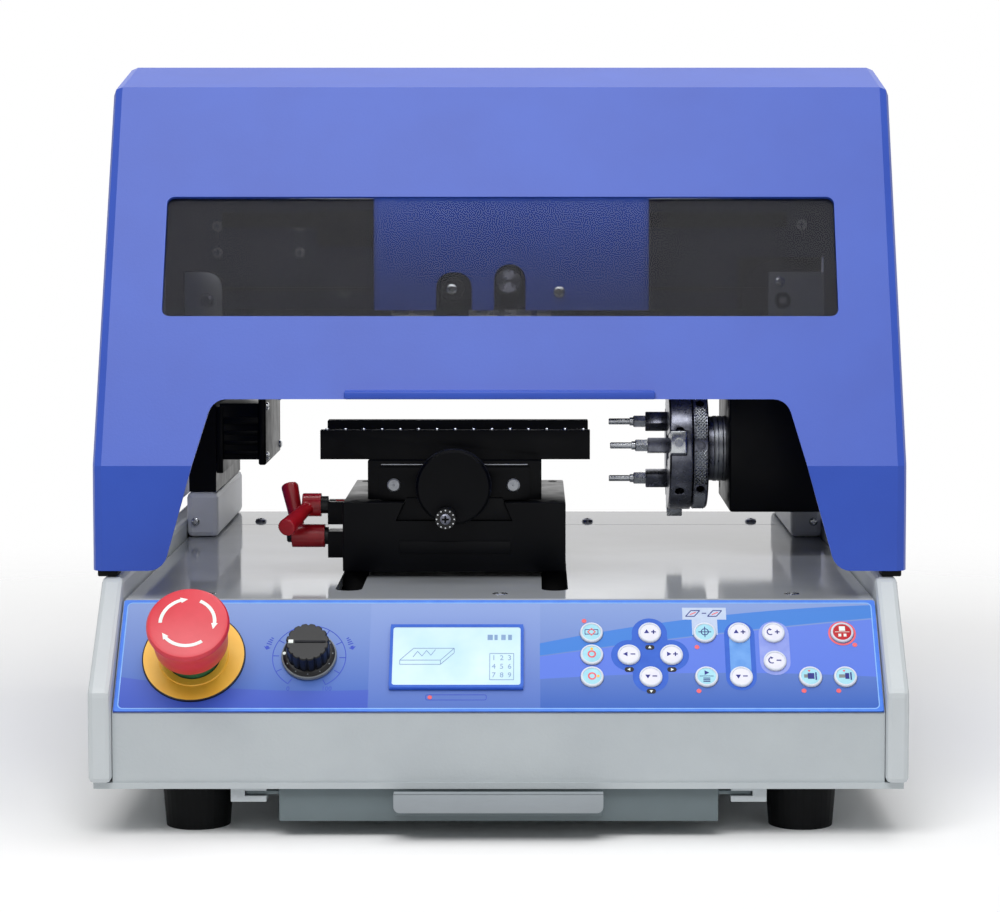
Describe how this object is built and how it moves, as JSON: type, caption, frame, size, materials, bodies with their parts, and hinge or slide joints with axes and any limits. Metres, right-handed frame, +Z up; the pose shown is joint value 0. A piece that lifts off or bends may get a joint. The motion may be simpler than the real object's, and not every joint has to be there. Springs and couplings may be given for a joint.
{
  "type": "engraving machine",
  "caption": "Bench-top engraving machine: base with sloping control panel, hinged hood with window, gantry spindle head, jaw chuck and small vise over a slotted deck.",
  "frame": {"origin": "centre of the bounding box at the underside of the feet, with the hood closed", "axes": "+X to the right as the user stands, +Y from the control panel to the rear, +Z up"},
  "size_m": [0.4096, 0.4556, 0.3846],
  "materials": {
    "black_anodised": "black anodised",
    "black_plastic": "black moulded",
    "blue_paint": "satin blue paint",
    "dark_steel": "blackened steel",
    "deck_grey": "satin grey anodised",
    "display_glass": "clear pale display",
    "green_plastic": "green moulded",
    "key_white": "white moulded",
    "lever_red": "dark red paint",
    "pale_paint": "textured pale grey paint",
    "panel_blue": "printed film",
    "red_plastic": "red moulded",
    "rubber": "black rubber",
    "side_paint": "smooth white-grey paint",
    "steel": "bright turned steel",
    "tinted_acrylic": "smoked clear acrylic",
    "white_paint": "white paint"
  },
  "bodies": {
    "machine": {"base_shell": "pale_paint", "left_side_panel": "side_paint", "right_side_panel": "side_paint", "deck_plate": "deck_grey", "front_left_foot": "rubber", "front_right_foot": "rubber", "rear_left_foot": "rubber", "rear_right_foot": "rubber", "control_overlay": "panel_blue", "display": "display_glass", "left_pillar_foot": "white_paint", "right_pillar_foot": "white_paint", "gantry_frame": "black_anodised", "gearbox_housing": "black_anodised", "side_motor": "black_anodised", "drive_belt": "rubber", "drive_bracket": "steel", "hinge_pin": "steel"},
    "hood": {"hood": "blue_paint", "hood_window": "tinted_acrylic"},
    "carriage": {"x_carriage": "black_anodised", "head_cover": "blue_paint"},
    "z_slide": {"spindle_unit": "dark_steel"},
    "spindle": {"spindle_shaft": "steel"},
    "clamp_knob": {"head_clamp_knob": "black_plastic"},
    "disc_knob": {"head_disc_knob": "black_plastic"},
    "idler": {"idler_pulley": "steel"},
    "drive": {"drive_wheel": "steel"},
    "vise_carriage": {"vise_carriage": "black_anodised"},
    "vise": {"vise_body": "dark_steel"},
    "vise_screw": {"vise_handwheel": "black_anodised"},
    "crank": {"crank_knob": "black_plastic"},
    "vise_jaw": {"moving_jaw": "dark_steel"},
    "upper_lever": {"upper_clamp_lever": "lever_red"},
    "lower_lever": {"lower_clamp_lever": "lever_red"},
    "chuck": {"chuck_body": "dark_steel"},
    "scroll": {"scroll_ring": "dark_steel"},
    "jaw_1": {"chuck_jaw_1": "dark_steel"},
    "jaw_2": {"chuck_jaw_2": "dark_steel"},
    "jaw_3": {"chuck_jaw_3": "dark_steel"},
    "tray": {"chip_tray": "dark_steel"},
    "stop_stem": {"estop_stem": "green_plastic"},
    "stop_head": {"estop_head": "red_plastic"},
    "knob": {"speed_knob": "black_plastic"},
    "flat_mode_key": {"flat_mode_key": "key_white"},
    "ring_outside_key": {"ring_outside_key": "key_white"},
    "ring_inside_key": {"ring_inside_key": "key_white"},
    "y_plus_key": {"y_plus_key": "key_white"},
    "x_minus_key": {"x_minus_key": "key_white"},
    "x_plus_key": {"x_plus_key": "key_white"},
    "y_minus_key": {"y_minus_key": "key_white"},
    "pointer_key": {"pointer_key": "key_white"},
    "start_key": {"start_key": "key_white"},
    "z_plus_key": {"z_plus_key": "key_white"},
    "z_minus_key": {"z_minus_key": "key_white"},
    "a_plus_key": {"a_plus_key": "key_white"},
    "a_minus_key": {"a_minus_key": "key_white"},
    "stop_key": {"stop_key": "key_white"},
    "clamp_open_key": {"clamp_open_key": "key_white"},
    "clamp_close_key": {"clamp_close_key": "key_white"}
  },
  "joints": [
    {"name": "hood_hinge", "type": "hinge", "parent": "machine", "child": "hood", "pos_m": [0, 0.2077, 0.358], "axis": [-1, 0, 0], "range_deg": [0, 65]},
    {"name": "x_axis", "type": "slide", "parent": "machine", "child": "carriage", "axis": [1, 0, 0], "range_m": [-0.088, 0.068]},
    {"name": "z_axis", "type": "slide", "parent": "carriage", "child": "z_slide", "axis": [0, 0, 1], "range_m": [-0.045, 0]},
    {"name": "spindle_spin", "type": "hinge", "parent": "z_slide", "child": "spindle", "pos_m": [0.005, 0.0387, 0.245], "axis": [0, 0, 1], "continuous": true},
    {"name": "clamp_knob_turn", "type": "hinge", "parent": "z_slide", "child": "clamp_knob", "pos_m": [-0.0278, 0.0047, 0.263], "axis": [0, -1, 0], "range_deg": [-180, 180]},
    {"name": "disc_knob_turn", "type": "hinge", "parent": "z_slide", "child": "disc_knob", "pos_m": [0.0033, 0.0047, 0.2675], "axis": [0, -1, 0], "range_deg": [-180, 180]},
    {"name": "idler_turn", "type": "hinge", "parent": "machine", "child": "idler", "pos_m": [-0.1744, 0.0753, 0.2535], "axis": [0, 1, 0], "range_deg": [-800, 620]},
    {"name": "drive_turn", "type": "hinge", "parent": "machine", "child": "drive", "pos_m": [0.1634, 0.0753, 0.2535], "axis": [0, 1, 0], "range_deg": [-800, 620]},
    {"name": "y_axis", "type": "slide", "parent": "machine", "child": "vise_carriage", "axis": [0, 1, 0], "range_m": [-0.04, 0.09]},
    {"name": "vise_slide", "type": "slide", "parent": "vise_carriage", "child": "vise", "axis": [0, 1, 0], "range_m": [-0.015, 0]},
    {"name": "handwheel_turn", "type": "hinge", "parent": "vise", "child": "vise_screw", "pos_m": [-0.025, -0.1013, 0.1613], "axis": [0, -1, 0], "range_deg": [0, 3420]},
    {"name": "jaw_slide", "type": "slide", "parent": "vise", "child": "vise_jaw", "axis": [0, 1, 0], "range_m": [0, 0.038]},
    {"name": "crank_spin", "type": "hinge", "parent": "vise_screw", "child": "crank", "pos_m": [-0.0288, -0.1013, 0.146], "axis": [0, -1, 0], "continuous": true},
    {"name": "upper_lever_turn", "type": "hinge", "parent": "vise_carriage", "child": "upper_lever", "pos_m": [-0.0932, -0.0653, 0.1482], "axis": [1, 0, 0], "range_deg": [-25, 25]},
    {"name": "lower_lever_turn", "type": "hinge", "parent": "vise_carriage", "child": "lower_lever", "pos_m": [-0.0932, -0.0653, 0.1315], "axis": [1, 0, 0], "range_deg": [-40, 0]},
    {"name": "chuck_spin", "type": "hinge", "parent": "machine", "child": "chuck", "pos_m": [0.127, 0.0387, 0.1694], "axis": [1, 0, 0], "continuous": true},
    {"name": "scroll_turn", "type": "hinge", "parent": "chuck", "child": "scroll", "pos_m": [0.127, 0.0387, 0.1694], "axis": [1, 0, 0], "range_deg": [-405, 360]},
    {"name": "jaw_1_slide", "type": "slide", "parent": "chuck", "child": "jaw_1", "axis": [0, 0.6428, 0.766], "range_m": [-0.009, 0.008]},
    {"name": "jaw_2_slide", "type": "slide", "parent": "chuck", "child": "jaw_2", "axis": [0, -0.9848, 0.1736], "range_m": [-0.009, 0.008]},
    {"name": "jaw_3_slide", "type": "slide", "parent": "chuck", "child": "jaw_3", "axis": [0, 0.342, -0.9397], "range_m": [-0.009, 0.008]},
    {"name": "tray_slide", "type": "slide", "parent": "machine", "child": "tray", "axis": [0, -1, 0], "range_m": [0, 0.15]},
    {"name": "stop_push", "type": "slide", "parent": "machine", "child": "stop_stem", "axis": [0, 0.7582, -0.652], "range_m": [0, 0.004], "stiffness_N_per_m": 1500, "springref_m": -0.002},
    {"name": "stop_twist", "type": "hinge", "parent": "stop_stem", "child": "stop_head", "pos_m": [-0.15081, -0.20112, 0.0934], "axis": [0, -0.7582, 0.652], "range_deg": [0, 45], "stiffness_Nm_per_rad": 0.05, "springref_deg": -5.73},
    {"name": "speed_knob_turn", "type": "hinge", "parent": "machine", "child": "knob", "pos_m": [-0.0938, -0.1929, 0.08686], "axis": [0, -0.7582, 0.652], "range_deg": [-219, 81]},
    {"name": "flat_mode_key_press", "type": "slide", "parent": "machine", "child": "flat_mode_key", "axis": [0, 0.7582, -0.652], "range_m": [0, 0.0005], "stiffness_N_per_m": 2000, "springref_m": -0.0002},
    {"name": "ring_outside_key_press", "type": "slide", "parent": "machine", "child": "ring_outside_key", "axis": [0, 0.7582, -0.652], "range_m": [0, 0.0005], "stiffness_N_per_m": 2000, "springref_m": -0.0002},
    {"name": "ring_inside_key_press", "type": "slide", "parent": "machine", "child": "ring_inside_key", "axis": [0, 0.7582, -0.652], "range_m": [0, 0.0005], "stiffness_N_per_m": 2000, "springref_m": -0.0002},
    {"name": "y_plus_key_press", "type": "slide", "parent": "machine", "child": "y_plus_key", "axis": [0, 0.7582, -0.652], "range_m": [0, 0.0005], "stiffness_N_per_m": 2000, "springref_m": -0.0002},
    {"name": "x_minus_key_press", "type": "slide", "parent": "machine", "child": "x_minus_key", "axis": [0, 0.7582, -0.652], "range_m": [0, 0.0005], "stiffness_N_per_m": 2000, "springref_m": -0.0002},
    {"name": "x_plus_key_press", "type": "slide", "parent": "machine", "child": "x_plus_key", "axis": [0, 0.7582, -0.652], "range_m": [0, 0.0005], "stiffness_N_per_m": 2000, "springref_m": -0.0002},
    {"name": "y_minus_key_press", "type": "slide", "parent": "machine", "child": "y_minus_key", "axis": [0, 0.7582, -0.652], "range_m": [0, 0.0005], "stiffness_N_per_m": 2000, "springref_m": -0.0002},
    {"name": "pointer_key_press", "type": "slide", "parent": "machine", "child": "pointer_key", "axis": [0, 0.7582, -0.652], "range_m": [0, 0.0005], "stiffness_N_per_m": 2000, "springref_m": -0.0002},
    {"name": "start_key_press", "type": "slide", "parent": "machine", "child": "start_key", "axis": [0, 0.7582, -0.652], "range_m": [0, 0.0005], "stiffness_N_per_m": 2000, "springref_m": -0.0002},
    {"name": "z_plus_key_press", "type": "slide", "parent": "machine", "child": "z_plus_key", "axis": [0, 0.7582, -0.652], "range_m": [0, 0.0005], "stiffness_N_per_m": 2000, "springref_m": -0.0002},
    {"name": "z_minus_key_press", "type": "slide", "parent": "machine", "child": "z_minus_key", "axis": [0, 0.7582, -0.652], "range_m": [0, 0.0005], "stiffness_N_per_m": 2000, "springref_m": -0.0002},
    {"name": "a_plus_key_press", "type": "slide", "parent": "machine", "child": "a_plus_key", "axis": [0, 0.7582, -0.652], "range_m": [0, 0.0005], "stiffness_N_per_m": 2000, "springref_m": -0.0002},
    {"name": "a_minus_key_press", "type": "slide", "parent": "machine", "child": "a_minus_key", "axis": [0, 0.7582, -0.652], "range_m": [0, 0.0005], "stiffness_N_per_m": 2000, "springref_m": -0.0002},
    {"name": "stop_key_press", "type": "slide", "parent": "machine", "child": "stop_key", "axis": [0, 0.7582, -0.652], "range_m": [0, 0.0005], "stiffness_N_per_m": 2000, "springref_m": -0.0002},
    {"name": "clamp_open_key_press", "type": "slide", "parent": "machine", "child": "clamp_open_key", "axis": [0, 0.7582, -0.652], "range_m": [0, 0.0005], "stiffness_N_per_m": 2000, "springref_m": -0.0002},
    {"name": "clamp_close_key_press", "type": "slide", "parent": "machine", "child": "clamp_close_key", "axis": [0, 0.7582, -0.652], "range_m": [0, 0.0005], "stiffness_N_per_m": 2000, "springref_m": -0.0002}
  ],
  "couplings": [
    {"joint": "idler_turn", "follows": "x_axis", "rad_per_m": 151.52},
    {"joint": "drive_turn", "follows": "x_axis", "rad_per_m": 151.52},
    {"joint": "handwheel_turn", "follows": "jaw_slide", "rad_per_m": 1570.8},
    {"joint": "jaw_1_slide", "follows": "scroll_turn", "m_per_rad": 0.0012732},
    {"joint": "jaw_2_slide", "follows": "scroll_turn", "m_per_rad": 0.0012732},
    {"joint": "jaw_3_slide", "follows": "scroll_turn", "m_per_rad": 0.0012732}
  ]
}
